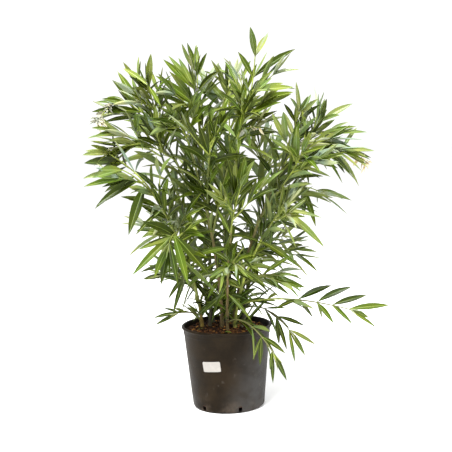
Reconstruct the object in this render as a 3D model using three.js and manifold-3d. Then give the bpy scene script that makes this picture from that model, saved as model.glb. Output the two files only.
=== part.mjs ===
// Potted oleander: a shrub of many stems in a round black nursery pot, about a metre tall.
// Millimetres, +Z up. The origin is the centre of the pot's flat underside, and the plant
// is seen from -Y, with +X to the right.
//
// The stems rise from the soil, boughs fork from the stems, and each mass of foliage is one
// leader with a few side twigs and whorls of three narrow leaves. A limb that forks from
// another starts on its axis and is cut back to a small gap round it.

import * as THREE from "three";
import { mergeVertices } from "three/addons/utils/BufferGeometryUtils.js";
import Module from "manifold-3d";

const wasm = await Module();
wasm.setup();

// Driving sizes

const GAP = 0.3;
const SLIVER = 0.02;
const WELDS = [0.0005, 0.001, 0.002];
const DEGREE = Math.PI / 180;
const UP = new THREE.Vector3(0, 0, 1);

const POT = {
  height: 219,
  rimRadius: 120,
  neckRadius: 116,
  baseRadius: 94.8,
  lip: 7,
  shoulder: 22,
  wall: 2.6,
  floor: 4,
  corner: 9,
  sides: 32,
};
const SLOTS = { count: 6, first: -72, width: 10, bottom: 3, height: 16, depth: 14 };
const SOIL = { level: 208, sides: 32 };
const LABEL = {
  width: 49,
  height: 27,
  thickness: 0.6,
  middle: 128.5,
  turn: -113,
  tilt: 4.5,
  steps: 6,
};

const STEM_SIDES = 6;
const STEM_STEPS = 6;
const BOUGH_SIDES = 5;
const BOUGH_STEPS = 4;
const TWIG_SIDES = 3;
const LEADER_STEPS = 3;
const TWIG_STEPS = 1;
const FLARE = { extra: 0.4, fade: 0.05 };
const HUG = 0.42;

// Leaves stand in whorls of three. Young ones at a shoot's tip are short and point along
// it, and older ones are full grown and stand out from it.

const LEAF = {
  young: 88,
  grown: 116,
  slim: 0.25,
  keel: 1.1,
  lift: 0.7,
  widest: 0.45,
  sunk: 0.3,
  openYoung: 22,
  openGrown: 66,
  droop: 0.2,
};
const WHORL = { leaves: 3, first: 4, pitch: 40, ripe: 100, turn: 30, bare: 16 };
const TWIG = { foot: 2.3, tip: 1.7, spread: 42, start: 0.25, last: 0.6, rise: 0.1, whorls: 1 };
const LEADER = { foot: 2.5, tip: 1.8, whorls: 4 };
const SHIFTS = [0, 26, -26, 48];

// Colours

const COLOURS = {
  pot: { color: 0x2a2725, roughness: 0.62, metalness: 0 },
  soil: { color: 0x3d2519, roughness: 0.95, metalness: 0 },
  label: { color: 0xf1efe9, roughness: 0.55, metalness: 0 },
  oldBark: { color: 0x6a4a35, roughness: 0.85, metalness: 0 },
  youngBark: { color: 0x7c8a3a, roughness: 0.7, metalness: 0 },
  foliage: { color: 0x4f7a35, roughness: 0.5, metalness: 0 },
  foliageLight: { color: 0x6b9440, roughness: 0.5, metalness: 0 },
};

// Limbs. A stem has its foot on the soil, the place of its tip, the way it sets out and its
// radii at foot and tip. A bough or a mass forks from another limb, at a share of its
// length, or goes on from its tip where that share is 1. An arch lifts a limb's middle, and
// a fan under 1 holds a mass's leaves closer along their shoots. Low masses have small leaves.

const LOW = { fan: 0.75, size: 0.75 };
const RIM = { fan: 0.7, size: 0.62 };

const STEMS = {
  stem_west: { foot: [-66, 25], tip: [-179, -70, 582], sets: [-0.04, 0, 1], radii: [4.2, 2.6] },
  stem_brown: { foot: [-12, 5], tip: [-80, -30, 690], sets: [0.02, -0.02, 1], radii: [4.8, 2.6] },
  stem_green: { foot: [22, -6], tip: [98, -76, 456], sets: [0.06, -0.08, 1], radii: [4.2, 2.6] },
  stem_east: { foot: [18, 30], tip: [162, -25, 641], sets: [0.12, 0, 1], radii: [4.2, 2.6] },
  stem_dark: { foot: [-45, 30], tip: [-56, 30, 739], sets: [0.08, 0.02, 1], radii: [4, 2.4] },
  stem_core: { foot: [-5, 60], tip: [22, 70, 703], sets: [0, 0.06, 1], radii: [3.8, 2.4] },
  stem_back_east: { foot: [45, 55], tip: [165, 78, 650], sets: [0.1, 0.06, 1], radii: [4.2, 2.6] },
  stem_back_west: { foot: [-35, 65], tip: [-155, 125, 639], sets: [-0.1, 0.1, 1], radii: [4.2, 2.6] },
  stem_rear: { foot: [15, 86], tip: [4, 170, 561], sets: [0, 0.1, 1], radii: [4, 2.6] },
  stem_front: { foot: [2, -30], tip: [19, -110, 479], sets: [0, -0.05, 1], radii: [3.8, 2.6] },
};

const BOUGHS = {
  bough_crown: { on: "stem_brown", at: 0.54, tip: [53, -40, 742], radii: [2.6, 2.2] },
  bough_front_high: { on: "stem_brown", at: 0.66, tip: [-30, -130, 658], radii: [2.4, 2.1] },
  bough_left_high: { on: "stem_dark", at: 0.5, tip: [-158, 20, 732], radii: [2.7, 2.2] },
  bough_left_front: { on: "stem_west", at: 0.42, tip: [-109, -120, 418], radii: [2.7, 2.2] },
  bough_right_high: { on: "stem_back_east", at: 0.6, tip: [210, 62, 650], radii: [2.6, 2.2] },
  bough_right_front: { on: "stem_east", at: 0.65, tip: [168, -80, 608], radii: [2.5, 2.1] },
  bough_low_right: { on: "stem_green", at: 0.27, tip: [194, -40, 285], radii: [2.7, 2.2] },
  bough_back_top: { on: "stem_core", at: 0.6, tip: [33, 150, 706], radii: [2.6, 2.1] },
  bough_back_right: { on: "stem_back_east", at: 0.42, tip: [111, 180, 585], radii: [2.6, 2.1] },
  bough_back_left: { on: "stem_back_west", at: 0.35, tip: [-110, 160, 403], radii: [2.6, 2.1] },
};

const MASSES = {
  mass_crown: { on: "bough_crown", at: 1, tip: [95, -20, 922], twigs: 3, spread: 65, arch: -30 },
  mass_bud: { on: "bough_crown", at: 0.75, tip: [86, -130, 833], twigs: 2, spread: 80 },
  mass_crown_middle: { on: "stem_core", at: 1, tip: [21, 40, 843], twigs: 3, spread: 80 },
  mass_crown_left: { on: "stem_dark", at: 1, tip: [-54, 10, 878], twigs: 2, spread: 80 },
  mass_left_lean: { on: "stem_dark", at: 0.93, tip: [-64, -20, 842], twigs: 2, spread: 80 },
  mass_front_left: { on: "stem_brown", at: 1, tip: [-116, -130, 771], twigs: 2, spread: 80 },
  mass_front_high: { on: "bough_front_high", at: 1, tip: [-22, -180, 745], twigs: 3, spread: 80 },
  mass_left_high: { on: "bough_left_high", at: 1, tip: [-244, 0, 812], twigs: 3, spread: 80 },
  mass_left_rise: { on: "bough_left_high", at: 0.9, tip: [-179, -60, 855], twigs: 1, spread: 70 },
  mass_left_upper: { on: "bough_left_high", at: 0.75, tip: [-269, -70, 738], twigs: 2, spread: 75 },
  mass_left_far: { on: "stem_west", at: 1, tip: [-291, -30, 683], twigs: 2, spread: 80 },
  mass_left_droop: { on: "stem_west", at: 0.82, tip: [-248, -115, 644], twigs: 2, spread: 90, arch: 40 },
  mass_left_front: { on: "bough_left_front", at: 1, tip: [-132, -215, 470], twigs: 1, spread: 80, arch: 90 },
  mass_left_middle: { on: "stem_west", at: 0.65, tip: [-152, -120, 546], twigs: 2, spread: 80 },
  mass_left_base: { on: "stem_west", at: 0.28, tip: [-160, 30, 352], twigs: 2, spread: 70, arch: 20, ...LOW },
  mass_right_high: { on: "stem_back_east", at: 1, tip: [213, 40, 764], twigs: 2, spread: 80 },
  mass_right_shoulder: { on: "bough_right_high", at: 1, tip: [268, 60, 748], twigs: 2, spread: 75 },
  mass_right_upper: { on: "stem_east", at: 1, tip: [262, -20, 717], twigs: 2, spread: 80 },
  mass_right_far: { on: "stem_east", at: 0.93, tip: [312, -50, 672], twigs: 2, spread: 80, arch: 50 },
  mass_right_front: { on: "bough_right_front", at: 1, tip: [200, -140, 676], twigs: 2, spread: 80 },
  mass_right_hang: { on: "stem_east", at: 0.7, tip: [254, 50, 562], twigs: 2, spread: 80, arch: 70 },
  mass_middle_right: { on: "stem_green", at: 1, tip: [153, -120, 536], twigs: 2, spread: 80 },
  mass_right_low: { on: "stem_east", at: 0.4, tip: [172, 20, 412], twigs: 2, spread: 80, arch: 40, size: 0.85 },
  mass_right_base: { on: "stem_green", at: 0.5, tip: [140, -65, 355], twigs: 2, spread: 70, arch: 20, ...LOW },
  mass_front_middle: { on: "stem_front", at: 1, tip: [49, -200, 611], twigs: 3, spread: 80 },
  mass_front_low: { on: "stem_front", at: 0.55, tip: [26, -170, 406], twigs: 2, spread: 75, arch: 30, ...LOW },
  mass_low_right: { on: "bough_low_right", at: 1, tip: [321, -70, 262], twigs: 0, size: 0.82 },
  mass_rim_right: { on: "stem_back_east", at: 0.1, tip: [168, -10, 196], twigs: 0, arch: 30, ...RIM },
  mass_rim_front: { on: "stem_front", at: 0.08, tip: [114, -180, 182], twigs: 0, arch: 40, ...RIM },
  mass_rim_left: { on: "stem_west", at: 0.09, tip: [-127, -25, 257], twigs: 0, ...RIM },
  mass_back_top: { on: "bough_back_top", at: 1, tip: [70, 190, 798], twigs: 3, spread: 80 },
  mass_back_left: { on: "stem_back_west", at: 1, tip: [-168, 180, 733], twigs: 3, spread: 90 },
  mass_back_right: { on: "bough_back_right", at: 1, tip: [122, 240, 689], twigs: 3, spread: 90 },
  mass_back_middle: { on: "stem_rear", at: 1, tip: [-76, 265, 600], twigs: 3, spread: 90 },
  mass_back_low: { on: "stem_rear", at: 0.5, tip: [2, 220, 390], twigs: 2, spread: 80, arch: 20, size: 0.85 },
  mass_back_left_low: { on: "bough_back_left", at: 1, tip: [-168, 230, 461], twigs: 2, spread: 80 },
  mass_back_right_low: { on: "stem_back_east", at: 0.35, tip: [165, 200, 423], twigs: 2, spread: 90, arch: 20 },
};

// Where the leaves nearest to a leader's bud have their tips, and the way their upper sides
// face. The other leaves point by rule.

const FACING = new THREE.Vector3(0, -1, 0.5);

const TIPS = {
  mass_crown: [[82, -80, 990], [132, 45, 977], [199, -25, 935]],
  mass_bud: [
    [128, -200, 874], [163, -80, 847], [184, -130, 835],
    [187, -95, 824], [24, -205, 832], [106, -60, 756],
  ],
  mass_crown_middle: [
    [20, -25, 908], [36, 115, 892], [-19, 0, 915],
    [-60, 90, 892], [53, -35, 816], [-20, 115, 830],
  ],
  mass_crown_left: [[-78, -25, 959], [-57, 55, 958], [-27, -60, 930], [7, 75, 818]],
  mass_left_lean: [
    [-141, -20, 918], [-128, -15, 928], [-102, -20, 922],
    [-164, -10, 879], [-123, -95, 885], [-170, -15, 851],
  ],
  mass_left_rise: [[-165, -110, 930], [-245, -15, 899], [-145, -120, 797]],
  mass_left_high: [
    [-297, -75, 821], [-299, 70, 827], [-315, -60, 814],
    [-284, 75, 874], [-325, -65, 790], [-268, 60, 897],
  ],
  mass_left_upper: [[-317, -145, 751], [-318, -5, 779], [-310, -145, 729]],
  mass_left_far: [
    [-326, -105, 708], [-358, 30, 688], [-348, -100, 683],
    [-344, 35, 616], [-365, 45, 655],
  ],
  mass_left_droop: [
    [-296, -190, 650], [-318, -60, 632], [-316, -175, 630],
    [-348, -110, 604], [-321, -125, 547], [-304, -45, 582],
  ],
  mass_left_front: [
    [-171, -225, 387], [-156, -210, 364], [-114, -225, 366],
    [-226, -210, 391], [-90, -220, 367], [-38, -210, 388],
    [-189, -285, 531], [-193, -140, 489], [-214, -150, 446],
  ],
  mass_right_high: [[202, 40, 853], [247, 105, 819], [252, -30, 805]],
  mass_right_shoulder: [[277, -10, 806], [354, 65, 791], [310, -15, 762]],
  mass_right_upper: [[352, -20, 732], [315, 45, 682], [379, -30, 716]],
  mass_right_far: [
    [385, -105, 671], [356, 5, 729], [366, -110, 632],
    [346, 25, 600], [325, 25, 606], [393, 15, 647],
  ],
  mass_right_front: [
    [219, -215, 726], [285, -110, 689], [239, -205, 627],
    [304, -115, 664], [183, -215, 744], [274, -100, 609],
  ],
  mass_right_hang: [
    [300, -25, 561], [297, 120, 523], [259, 125, 519],
    [221, 115, 485], [243, 0, 468], [231, 55, 432],
  ],
  mass_middle_right: [
    [195, -185, 488], [254, -115, 431], [247, -125, 509],
    [214, -65, 467], [116, -120, 439], [99, -55, 469],
  ],
  mass_right_low: [[249, 20, 401], [188, 75, 359], [207, -45, 430], [149, 95, 365]],
  mass_right_base: [
    [200, -65, 308], [134, -10, 313], [179, -120, 365],
    [210, -50, 318], [174, -110, 415],
  ],
  mass_low_right: [
    [423, -74, 271], [375, -34, 230], [388, -79, 213],
    [368, -51, 295], [319, -136, 236], [319, 4, 224],
    [272, -129, 238], [256, 16, 220], [329, -54, 320],
    [283, 4, 314], [232, 19, 223], [189, -111, 330],
  ],
  mass_rim_right: [
    [235, -18, 158], [207, -3, 125], [178, -28, 114],
    [210, 12, 203], [159, -8, 142], [140, 27, 150],
  ],
  mass_rim_front: [
    [146, -187, 111], [112, -172, 100], [103, -222, 149],
    [82, -126, 135], [145, -191, 180], [65, -111, 147],
  ],
  mass_rim_left: [[-193, -23, 245], [-189, -18, 225], [-163, -58, 279]],
};

// Numbers dealt by rule: the same whole numbers always give the same share from 0 to 1

function roll(...keys) {
  let mixed = 2166136261;
  for (const key of keys) {
    mixed = Math.imul(mixed ^ (key + 1), 16777619);
    mixed ^= mixed >>> 13;
    mixed = Math.imul(mixed, 1540483477);
    mixed ^= mixed >>> 15;
  }
  return (mixed >>> 0) / 4294967296;
}

function sway(span, ...keys) {
  return span * (2 * roll(...keys) - 1);
}

function blend(from, to, share) {
  return from + (to - from) * share;
}

// Solids

function solidOf(geometry) {
  geometry.deleteAttribute("normal");
  geometry.deleteAttribute("uv");
  const merged = mergeVertices(geometry);
  const corners = merged.index.array;
  const triVerts = [];
  for (let i = 0; i < corners.length; i += 3) {
    const [a, b, c] = corners.slice(i, i + 3);
    if (a !== b && b !== c && c !== a) triVerts.push(a, b, c);
  }
  return new wasm.Manifold(
    new wasm.Mesh({
      numProp: 3,
      vertProperties: new Float32Array(merged.attributes.position.array),
      triVerts: new Uint32Array(triVerts),
    }),
  );
}

function geometryOf(solid) {
  const { numProp, vertProperties, triVerts } = solid.getMesh();
  const places = new Float32Array((vertProperties.length / numProp) * 3);
  for (let i = 0; i < places.length / 3; i += 1) {
    places.set(vertProperties.subarray(i * numProp, i * numProp + 3), i * 3);
  }
  const geometry = new THREE.BufferGeometry();
  geometry.setAttribute("position", new THREE.BufferAttribute(places, 3));
  geometry.setIndex(new THREE.BufferAttribute(new Uint32Array(triVerts), 1));
  const faceted = geometry.toNonIndexed();
  faceted.computeVertexNormals();
  return faceted;
}

// The largest closed body of a solid: a scrap or the skin of a sealed hollow is left out
function largestBody(solid) {
  return solid.decompose().reduce((best, body) => (body.volume() > best.volume() ? body : best));
}

// True where a solid stays one closed skin with its nearest points drawn together
function isTight(solid, weld) {
  const geometry = geometryOf(solid);
  geometry.deleteAttribute("normal");
  const corners = mergeVertices(geometry, weld).index.array;
  const edges = new Set();
  for (let i = 0; i < corners.length; i += 3) {
    const [a, b, c] = corners.slice(i, i + 3);
    if (a === b || b === c || c === a) continue;
    for (const edge of [`${a} ${b}`, `${b} ${c}`, `${c} ${a}`]) {
      if (edges.has(edge)) return false;
      edges.add(edge);
    }
  }
  return [...edges].every((edge) => edges.has(edge.split(" ").reverse().join(" ")));
}

function boxesMeet(a, b) {
  const first = a.boundingBox();
  const second = b.boundingBox();
  return [0, 1, 2].every(
    (axis) => first.min[axis] - GAP < second.max[axis] && second.min[axis] - GAP < first.max[axis],
  );
}

function isClear(solid, others) {
  return others.every((other) => !boxesMeet(solid, other) || solid.minGap(other, GAP * 2) >= GAP);
}

// Pot: a tapered wall with a rolled lip, a slight shoulder under it and a rounded foot

function potRadius(z) {
  return blend(POT.baseRadius, POT.neckRadius, z / (POT.height - POT.lip));
}

function innerRadius(z) {
  const share = (z - POT.corner) / (POT.height - POT.corner);
  return blend(potRadius(POT.corner), POT.neckRadius, share) - POT.wall;
}

function potSolid() {
  const top = POT.height;
  const outline = [
    [0, 0],
    [POT.baseRadius - POT.corner, 0],
    [POT.baseRadius - POT.corner * 0.3, POT.corner * 0.25],
    [potRadius(POT.corner), POT.corner],
    [potRadius(top - POT.shoulder) - 0.8, top - POT.shoulder],
    [potRadius(top - POT.shoulder) + 0.6, top - POT.shoulder + 3],
    [POT.neckRadius, top - POT.lip],
    [POT.rimRadius, top - POT.lip * 0.6],
    [POT.rimRadius, top - POT.lip * 0.2],
    [POT.rimRadius - 1.4, top],
    [POT.neckRadius - POT.wall, top],
    [innerRadius(POT.corner), POT.corner],
    [POT.baseRadius - POT.corner, POT.floor],
    [0, POT.floor],
  ];
  const points = outline.map(([radius, z]) => new THREE.Vector2(radius, z));
  const turned = new THREE.LatheGeometry(points, POT.sides).rotateX(Math.PI / 2);
  let pot = solidOf(turned);
  for (let i = 0; i < SLOTS.count; i += 1) {
    pot = pot.subtract(slotSolid((SLOTS.first + (i * 360) / SLOTS.count) * DEGREE));
  }
  return largestBody(pot);
}

function slotSolid(angle) {
  const slot = new THREE.BoxGeometry(SLOTS.depth, SLOTS.width, SLOTS.height);
  slot.translate(POT.baseRadius, 0, SLOTS.bottom + SLOTS.height / 2);
  return solidOf(slot.rotateZ(angle));
}

// Soil: fills the pot from its floor to the level of the bark, clear of the wall all round

function soilSolid() {
  const outline = [
    [0, POT.floor + GAP],
    [POT.baseRadius - POT.corner - GAP, POT.floor + GAP],
    [innerRadius(POT.corner) - GAP, POT.corner + GAP],
    [innerRadius(SOIL.level) - GAP, SOIL.level],
    [0, SOIL.level],
  ];
  const points = outline.map(([radius, z]) => new THREE.Vector2(radius, z));
  return solidOf(new THREE.LatheGeometry(points, SOIL.sides).rotateX(Math.PI / 2));
}

// Label: a blank sticker bent round the wall

function labelSolid() {
  const plate = new THREE.BoxGeometry(LABEL.width, LABEL.thickness, LABEL.height, LABEL.steps, 1, 1);
  plate.rotateY(-LABEL.tilt * DEGREE);
  const place = plate.attributes.position;
  for (let i = 0; i < place.count; i += 1) {
    const z = LABEL.middle + place.getZ(i);
    const radius = potRadius(z) + GAP + LABEL.thickness / 2 - place.getY(i);
    const angle = LABEL.turn * DEGREE + place.getX(i) / potRadius(LABEL.middle);
    place.setXYZ(i, radius * Math.cos(angle), radius * Math.sin(angle), z);
  }
  return solidOf(plate);
}

// Limbs: a tapered tube along a curve that lies in one plane

function limbCurve(from, sets, tip, arch = 0) {
  const reach = from.distanceTo(tip) * HUG;
  const bend = from.clone().addScaledVector(sets.clone().normalize(), reach);
  bend.addScaledVector(UP, arch);
  return new THREE.QuadraticBezierCurve3(from, bend, tip);
}

function frameAt(curve, share) {
  const point = curve.getPoint(share);
  const along = curve.getTangent(share);
  const across = new THREE.Vector3()
    .crossVectors(curve.v1.clone().sub(curve.v0), curve.v2.clone().sub(curve.v1))
    .normalize();
  const over = new THREE.Vector3().crossVectors(across, along);
  return { point, along, across, over };
}

function limbSolid(limb, extra = 0) {
  const { curve, radii, sides, steps, flare } = limb;
  const tube = new THREE.CylinderGeometry(1, 1, 1, sides, steps);
  const place = tube.attributes.position;
  const swell = extra / Math.cos(Math.PI / sides);
  for (let i = 0; i < place.count; i += 1) {
    const share = (place.getY(i) + 0.5) ** 1.4;
    const frame = frameAt(curve, share);
    const root = flare ? 1 + FLARE.extra * Math.exp(-share / FLARE.fade) : 1;
    const radius = blend(radii[0], radii[1], share) * root + swell;
    const end = share === 1 ? extra : 0;
    const spot = frame.point
      .addScaledVector(frame.across, radius * place.getX(i))
      .addScaledVector(frame.over, radius * place.getZ(i))
      .addScaledVector(frame.along, end);
    place.setXYZ(i, spot.x, spot.y, spot.z);
  }
  return solidOf(tube);
}

const limbs = {};
const solids = {};

function addStem(name, { foot, tip, sets, radii }) {
  const from = new THREE.Vector3(foot[0], foot[1], SOIL.level + GAP);
  const curve = limbCurve(from, new THREE.Vector3(...sets), new THREE.Vector3(...tip));
  limbs[name] = { curve, radii, sides: STEM_SIDES, steps: STEM_STEPS, flare: true };
  const ground = new THREE.BoxGeometry(60, 60, 30);
  ground.translate(foot[0], foot[1], SOIL.level + GAP - 15);
  solids[name] = largestBody(limbSolid(limbs[name]).subtract(solidOf(ground)));
}

// A limb that forks from its parent sets out between the parent's way and its own tip
function forkCurve({ on, at, tip, arch }) {
  const parent = frameAt(limbs[on].curve, at);
  const goal = new THREE.Vector3(...tip);
  if (at === 1) {
    const from = parent.point.clone().addScaledVector(parent.along, GAP);
    return limbCurve(from, parent.along, goal, arch);
  }
  const chord = goal.clone().sub(parent.point).normalize();
  return limbCurve(parent.point, chord.addScaledVector(parent.along, 0.35), goal, arch);
}

function cutFromParent(solid, { on }) {
  return largestBody(solid.subtract(limbSolid(limbs[on], GAP)));
}

function addBough(name, bough) {
  limbs[name] = {
    curve: forkCurve(bough),
    radii: bough.radii,
    sides: BOUGH_SIDES,
    steps: BOUGH_STEPS,
  };
  solids[name] = cutFromParent(limbSolid(limbs[name]), bough);
}

// Leaves: narrow, pointed at both ends, keeled along the midrib, their tips bent down

function leafSolid({ root, heading, upper, length }) {
  const blade = new THREE.SphereGeometry(1, 3, 2);
  const place = blade.attributes.position;
  const side = new THREE.Vector3().crossVectors(upper, heading);
  const wide = (length * LEAF.slim) / 2;
  for (let i = 0; i < place.count; i += 1) {
    const [x, y, z] = [place.getX(i), place.getY(i), place.getZ(i)];
    const share = [0, LEAF.widest, 1][Math.round(y) + 1];
    const raised = x < -0.5 ? -LEAF.keel : LEAF.lift;
    const spot = root
      .clone()
      .addScaledVector(heading, share * length)
      .addScaledVector(side, (z / Math.sin(Math.PI / 3)) * wide)
      .addScaledVector(upper, raised * (1 - Math.abs(y)))
      .addScaledVector(UP, -LEAF.droop * length * share * share);
    place.setXYZ(i, spot.x, spot.y, spot.z);
  }
  return solidOf(blade);
}

// The way that leads off a limb: its turn round the limb and its opening from it, in degrees
function wayOff({ along, across, over }, turn, open) {
  const out = across
    .clone()
    .multiplyScalar(Math.cos(turn * DEGREE))
    .addScaledVector(over, Math.sin(turn * DEGREE));
  return along
    .clone()
    .multiplyScalar(Math.cos(open * DEGREE))
    .addScaledVector(out, Math.sin(open * DEGREE));
}

// A leaf that points by rule, as a line from its root to its tip
function leafByRule(frame, age, leaf, shift, { fan = 1, size = 1 }, keys) {
  const circle = WHORL.turn + (leaf * 360) / WHORL.leaves;
  const turn = circle + shift + sway(16, ...keys, leaf, 1);
  const open = blend(LEAF.openYoung, LEAF.openGrown, age) + sway(9, ...keys, leaf, 2);
  const length = blend(LEAF.young, LEAF.grown, age) * size * (1 + sway(0.14, ...keys, leaf, 3));
  return wayOff(frame, turn, open * fan).multiplyScalar(length);
}

// A leaf that ends at a given tip once it has bent down
function leafToTip(frame, tip) {
  const line = new THREE.Vector3(...tip).sub(frame.point);
  return line.addScaledVector(UP, LEAF.droop * line.length());
}

function placeLeaf(frame, line, facing) {
  const heading = line.clone().normalize();
  const upper = facing.clone().addScaledVector(heading, -facing.dot(heading)).normalize();
  const root = frame.point.clone().addScaledVector(heading, -LEAF.sunk);
  return { root, heading, upper, length: line.length() };
}

// A mass: its leader, side twigs spread round it, and leaves on each

function shootOf(curve, radii, steps) {
  return { curve, radii, steps, sides: TWIG_SIDES, length: curve.getLength() };
}

function sideTwig(leader, number, count, spread, shift, keys) {
  const share = blend(TWIG.start, TWIG.last, count > 1 ? number / (count - 1) : 0.4);
  const frame = frameAt(leader.curve, share);
  const turn = number * 137.5 + shift + sway(40, ...keys, 4);
  const heading = wayOff(frame, turn, TWIG.spread + sway(8, ...keys, 5));
  const reach = spread * (1 + sway(0.2, ...keys, 6));
  const tip = frame.point.clone().addScaledVector(heading, reach).addScaledVector(UP, reach * TWIG.rise);
  return shootOf(limbCurve(frame.point, heading, tip), [TWIG.foot, TWIG.tip], TWIG_STEPS);
}

// The first twig or leaf that keeps clear of everything else, out of a few turned ones, with
// the mass that it is joined to
function firstClear(make, mass, others) {
  for (const shift of SHIFTS) {
    const made = make(shift);
    if (!meetsOnce(made.solid, mass) || !isClear(made.solid, others)) continue;
    const joined = largestBody(mass.add(made.solid).simplify(SLIVER));
    if (WELDS.every((weld) => isTight(joined, weld))) return { ...made, joined };
  }
  return null;
}

// True where a leaf meets its own mass at its root alone
function meetsOnce(leaf, mass) {
  return leaf.intersect(mass).decompose().length === 1;
}

function addLeader(name, mass) {
  const parent = limbs[mass.on];
  const foot = Math.min(LEADER.foot, parent.radii[1]);
  const leader = shootOf(forkCurve(mass), [foot, LEADER.tip], LEADER_STEPS);
  limbs[name] = leader;
  solids[name] = cutFromParent(limbSolid(leader), mass);
}

function othersThan(name) {
  return Object.keys(solids)
    .filter((other) => other !== name)
    .map((other) => solids[other]);
}

function addTwigs(name, mass, number) {
  const others = othersThan(name);
  const shoots = [limbs[name]];
  for (let i = 0; i < mass.twigs; i += 1) {
    const found = firstClear((shift) => {
      const shoot = sideTwig(limbs[name], i, mass.twigs, mass.spread, shift, [number, i]);
      return { shoot, solid: limbSolid(shoot) };
    }, solids[name], others);
    if (found) {
      shoots.push(found.shoot);
      solids[name] = found.joined;
    }
  }
  return shoots;
}

function addLeaves(name, mass, number, shoots) {
  shoots.forEach((shoot, index) => {
    const whorls = index === 0 ? LEADER.whorls : TWIG.whorls;
    const tips = (index === 0 && TIPS[name]) || [];
    for (let whorl = 0; whorl < whorls; whorl += 1) {
      const back = WHORL.first + whorl * WHORL.pitch;
      if (back > shoot.length - WHORL.bare) break;
      addWhorl(name, mass, shoot, back, tips.slice(whorl * WHORL.leaves), [number, index, whorl]);
    }
  });
}

function addWhorl(name, mass, shoot, back, tips, keys) {
  const age = Math.min(1, back / WHORL.ripe);
  const frame = frameAt(shoot.curve, 1 - back / shoot.length);
  for (let leaf = 0; leaf < WHORL.leaves; leaf += 1) {
    const found = firstClear((shift) => {
      const aim = shift === 0 && tips[leaf];
      const line = aim ? leafToTip(frame, aim) : leafByRule(frame, age, leaf, shift, mass, keys);
      return { solid: leafSolid(placeLeaf(frame, line, aim ? FACING : frame.along)) };
    }, solids[name], othersThan(name));
    if (found) solids[name] = found.joined;
  }
}

// Assembly

const finishes = {};

function grow() {
  solids.pot = potSolid();
  solids.soil = soilSolid();
  solids.label = labelSolid();
  Object.entries(STEMS).forEach(([name, stem]) => addStem(name, stem));
  Object.entries(BOUGHS).forEach(([name, bough]) => addBough(name, bough));
  const masses = Object.entries(MASSES);
  masses.forEach(([name, mass]) => addLeader(name, mass));
  const shoots = masses.map(([name, mass], number) => addTwigs(name, mass, number));
  masses.forEach(([name, mass], number) => addLeaves(name, mass, number, shoots[number]));

  finishes.pot = COLOURS.pot;
  finishes.soil = COLOURS.soil;
  finishes.label = COLOURS.label;
  Object.keys(STEMS).forEach((name) => (finishes[name] = COLOURS.oldBark));
  Object.keys(BOUGHS).forEach((name) => (finishes[name] = COLOURS.youngBark));
  masses.forEach(([name], number) => {
    finishes[name] = number % 2 ? COLOURS.foliage : COLOURS.foliageLight;
  });
}

function plantGroup() {
  grow();
  const plant = new THREE.Group();
  for (const [name, solid] of Object.entries(solids)) {
    const mesh = new THREE.Mesh(geometryOf(solid), new THREE.MeshStandardMaterial(finishes[name]));
    mesh.name = name;
    plant.add(mesh);
  }
  return plant;
}

export default plantGroup();
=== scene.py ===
# Potted oleander: stems, leafy shoots and a black nursery pot of bark compost.
# Metres, +Z up, origin under the middle of the pot. Sizes in the tables are millimetres.

from collections import namedtuple
from functools import partialmethod
from math import copysign, cos, exp, hypot, pi, radians, sin, sqrt
from types import SimpleNamespace as Table

import bpy
import numpy as np
from mathutils import Matrix, Vector, noise


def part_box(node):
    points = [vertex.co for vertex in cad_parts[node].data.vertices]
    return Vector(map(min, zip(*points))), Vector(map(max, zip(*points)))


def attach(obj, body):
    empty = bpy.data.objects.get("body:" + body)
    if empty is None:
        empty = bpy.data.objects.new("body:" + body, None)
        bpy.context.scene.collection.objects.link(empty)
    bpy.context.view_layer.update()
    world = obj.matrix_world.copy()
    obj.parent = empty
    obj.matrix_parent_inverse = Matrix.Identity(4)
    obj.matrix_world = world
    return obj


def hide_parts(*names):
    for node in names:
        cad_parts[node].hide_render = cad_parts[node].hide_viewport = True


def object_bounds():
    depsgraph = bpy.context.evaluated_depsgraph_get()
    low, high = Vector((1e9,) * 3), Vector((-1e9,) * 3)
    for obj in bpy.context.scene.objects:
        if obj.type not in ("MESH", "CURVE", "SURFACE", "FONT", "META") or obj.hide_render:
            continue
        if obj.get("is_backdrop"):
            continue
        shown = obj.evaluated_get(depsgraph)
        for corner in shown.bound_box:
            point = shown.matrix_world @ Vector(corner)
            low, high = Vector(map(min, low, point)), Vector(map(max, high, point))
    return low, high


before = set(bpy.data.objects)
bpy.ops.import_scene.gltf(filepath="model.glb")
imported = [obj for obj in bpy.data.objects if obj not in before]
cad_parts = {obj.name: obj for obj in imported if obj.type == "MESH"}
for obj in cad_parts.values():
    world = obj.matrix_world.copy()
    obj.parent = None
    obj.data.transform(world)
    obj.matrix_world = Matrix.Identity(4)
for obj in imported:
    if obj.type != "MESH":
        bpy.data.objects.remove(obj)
cad_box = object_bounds()

MM = 0.001
UP = Vector((0, 0, 1))
GOLDEN_TURN = 137.5
SMOOTH = Table(leaf=50, wood=70, bed=60, chip=35, pot=38, sticker=40)

# Camera

CAMERA = Table(place=(0.0067, -2.6, 0.798), down=6.955, roll=1.784, lens=79.34, sensor=36)

# Pot, compost and sticker

POT = Table(
    height=219, rim=120, neck=116, base=94.8, lip=7, shoulder=22,
    wall=2.6, floor=4, corner=9, sides=144,
)
SLOTS = Table(count=6, first=-72, width=10, bottom=3, height=16, depth=14, bevel=1.6)
SOIL_LEVEL = 208
LABEL = Table(
    width=49, height=27, thickness=0.5, middle=128.5, turn=-113, tilt=4.5,
    corner=3, proud=0.15, grid=(24, 14),
)

# Limbs, as the solids have them. A stem sets out its own way, and a bough forks off a limb at a
# share of its length.

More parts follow.
